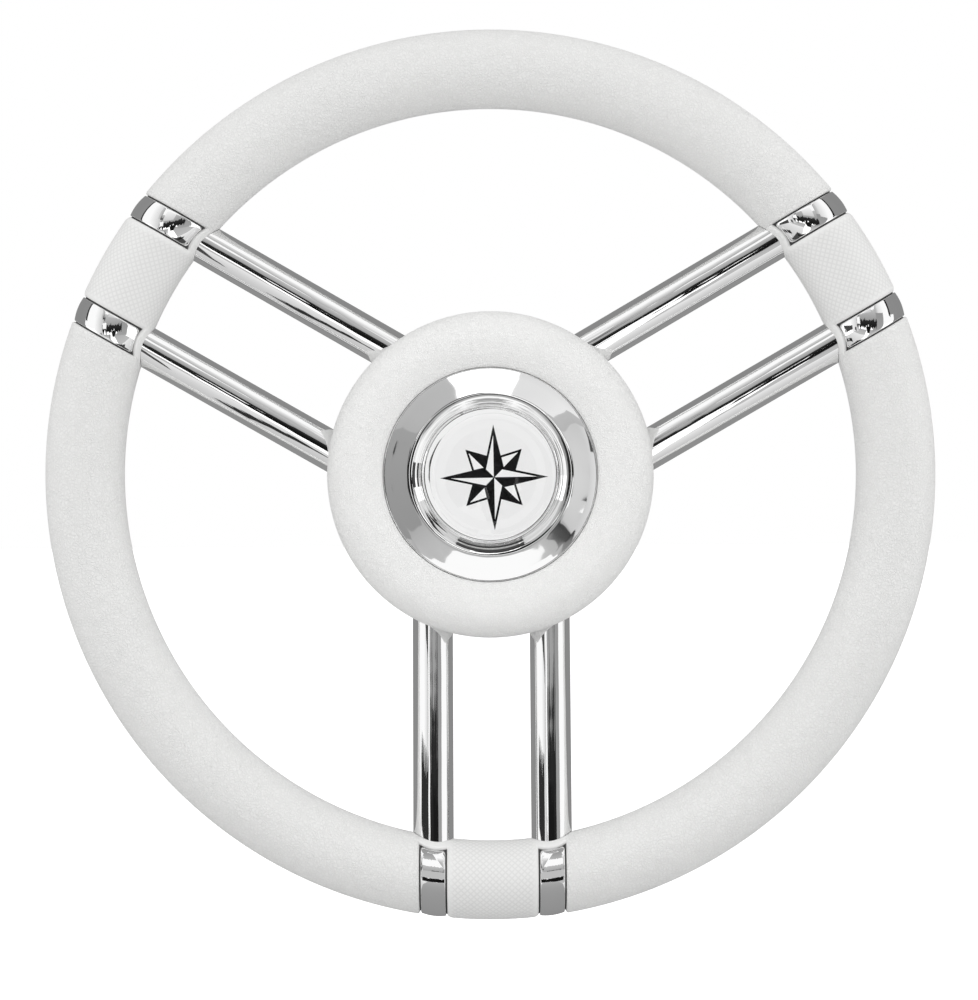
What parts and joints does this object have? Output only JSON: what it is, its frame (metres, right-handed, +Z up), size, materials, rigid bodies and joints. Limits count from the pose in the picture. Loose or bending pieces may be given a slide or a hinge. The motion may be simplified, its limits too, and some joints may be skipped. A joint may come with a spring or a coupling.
{
  "type": "boat steering wheel",
  "caption": "White moulded boat steering wheel with paired polished tube spokes, polished rim bands, a padded hub, a tapered shaft bore and a centre cap with a compass rose.",
  "frame": {"origin": "on the shaft's line, in the plane of the hub's rear face", "axes": "wheel upright and facing -Y, the helm shaft leaves along +Y, +Z is up"},
  "size_m": [0.35, 0.0675, 0.35],
  "materials": {
    "grip_white": "moulded polyurethane with a fine leather grain",
    "polished_steel": "mirror-polished stainless steel",
    "core_steel": "as drawn, inside the grip",
    "cast_aluminium": "as cast, with machined faces",
    "carrier_plastic": "glass-filled nylon",
    "seal_rubber": "soft black rubber",
    "screw_steel": "stainless steel",
    "label_white": "gloss white label",
    "print_ground": "light grey printed ground",
    "print_dark": "near-black print",
    "print_light": "white print",
    "clear_resin": "clear domed resin"
  },
  "bodies": {
    "root": {"rim_cover": "grip_white", "rim_core": "core_steel", "hub_pad": "grip_white", "pad_carrier": "carrier_plastic", "hub_casting": "cast_aluminium", "rear_cover": "grip_white", "centre_cap": "polished_steel", "cap_seal": "seal_rubber", "pad_screws": "screw_steel", "cover_screws": "screw_steel", "grub_screws": "screw_steel", "dial_label": "label_white", "dial_ground": "print_ground", "rose_dark": "print_dark", "rose_light": "print_light", "dial_dome": "clear_resin", "spoke_right_upper": "polished_steel", "band_right_upper": "polished_steel", "spoke_right_lower": "polished_steel", "band_right_lower": "polished_steel", "spoke_left_upper": "polished_steel", "band_left_upper": "polished_steel", "spoke_left_lower": "polished_steel", "band_left_lower": "polished_steel", "spoke_bottom_right": "polished_steel", "band_bottom_right": "polished_steel", "spoke_bottom_left": "polished_steel", "band_bottom_left": "polished_steel"}
  },
  "joints": []
}
